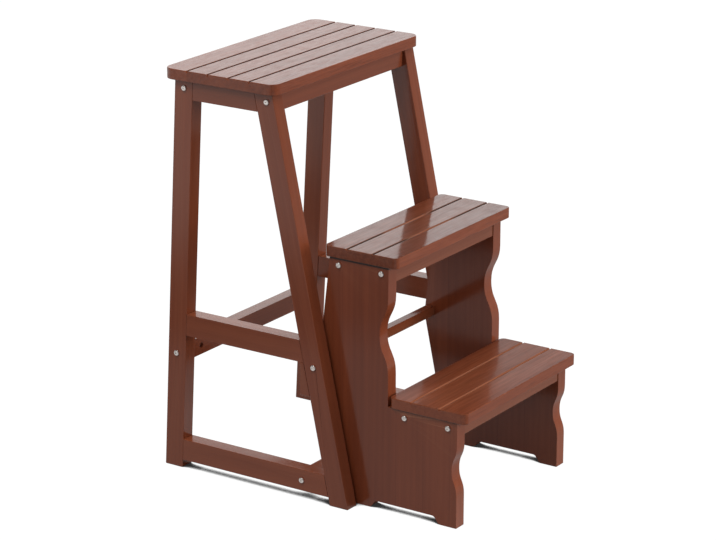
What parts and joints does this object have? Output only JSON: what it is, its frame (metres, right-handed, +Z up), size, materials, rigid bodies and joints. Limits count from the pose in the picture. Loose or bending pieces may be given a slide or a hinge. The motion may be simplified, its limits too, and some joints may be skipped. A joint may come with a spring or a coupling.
{
  "type": "folding step stool",
  "caption": "Stained wooden step stool: a grooved seat board on leaning side frames, and a stair-shaped unit of grooved treads that folds up and back between the side frames.",
  "frame": {"origin": "On the floor, under the centre of the object's box, with the step unit folded out.", "axes": "+Z is up. The steps face -Y. X runs across the stool, and the left side is -X as seen from the front facing +Y."},
  "size_m": [0.387, 0.5244, 0.63],
  "materials": {
    "stained_wood": "glossy reddish-brown stain and varnish",
    "bolt_steel": "bright zinc-plated steel",
    "nylon": "plain dark nylon"
  },
  "bodies": {
    "frame": {"seat": "stained_wood", "front_apron": "stained_wood", "rear_apron": "stained_wood", "rear_stretcher": "stained_wood", "bottom_cross_rail": "stained_wood", "left_rear_leg": "stained_wood", "left_front_leg": "stained_wood", "left_top_rail": "stained_wood", "left_mid_rail": "stained_wood", "left_bottom_rail": "stained_wood", "left_pivot_block": "stained_wood", "left_rear_top_bolt": "bolt_steel", "left_front_top_bolt": "bolt_steel", "left_stretcher_bolt": "bolt_steel", "left_cross_rail_bolt": "bolt_steel", "left_stretcher_nut": "bolt_steel", "left_cross_rail_nut": "bolt_steel", "right_rear_leg": "stained_wood", "right_front_leg": "stained_wood", "right_top_rail": "stained_wood", "right_mid_rail": "stained_wood", "right_bottom_rail": "stained_wood", "right_pivot_block": "stained_wood", "right_rear_top_bolt": "bolt_steel", "right_front_top_bolt": "bolt_steel", "right_stretcher_bolt": "bolt_steel", "right_cross_rail_bolt": "bolt_steel", "right_stretcher_nut": "bolt_steel", "right_cross_rail_nut": "bolt_steel"},
    "step_unit": {"upper_tread": "stained_wood", "lower_tread": "stained_wood", "upper_rear_step_apron": "stained_wood", "upper_front_step_apron": "stained_wood", "lower_rear_step_apron": "stained_wood", "lower_front_step_apron": "stained_wood", "pivot_bar": "stained_wood", "left_step_panel": "stained_wood", "left_upper_rear_bolt": "bolt_steel", "left_upper_front_bolt": "bolt_steel", "left_lower_rear_bolt": "bolt_steel", "left_lower_front_bolt": "bolt_steel", "left_upper_rear_nut": "bolt_steel", "left_upper_front_nut": "bolt_steel", "left_lower_rear_nut": "bolt_steel", "left_lower_front_nut": "bolt_steel", "left_pivot_bolt": "bolt_steel", "left_pivot_nut": "bolt_steel", "left_pivot_spacer": "nylon", "right_step_panel": "stained_wood", "right_upper_rear_bolt": "bolt_steel", "right_upper_front_bolt": "bolt_steel", "right_lower_rear_bolt": "bolt_steel", "right_lower_front_bolt": "bolt_steel", "right_upper_rear_nut": "bolt_steel", "right_upper_front_nut": "bolt_steel", "right_lower_rear_nut": "bolt_steel", "right_lower_front_nut": "bolt_steel", "right_pivot_bolt": "bolt_steel", "right_pivot_nut": "bolt_steel", "right_pivot_spacer": "nylon"}
  },
  "joints": [
    {"name": "step_fold", "type": "hinge", "parent": "frame", "child": "step_unit", "pos_m": [0, -0.01603, 0.2116], "axis": [-1, 0, 0], "range_deg": [0, 168]}
  ]
}
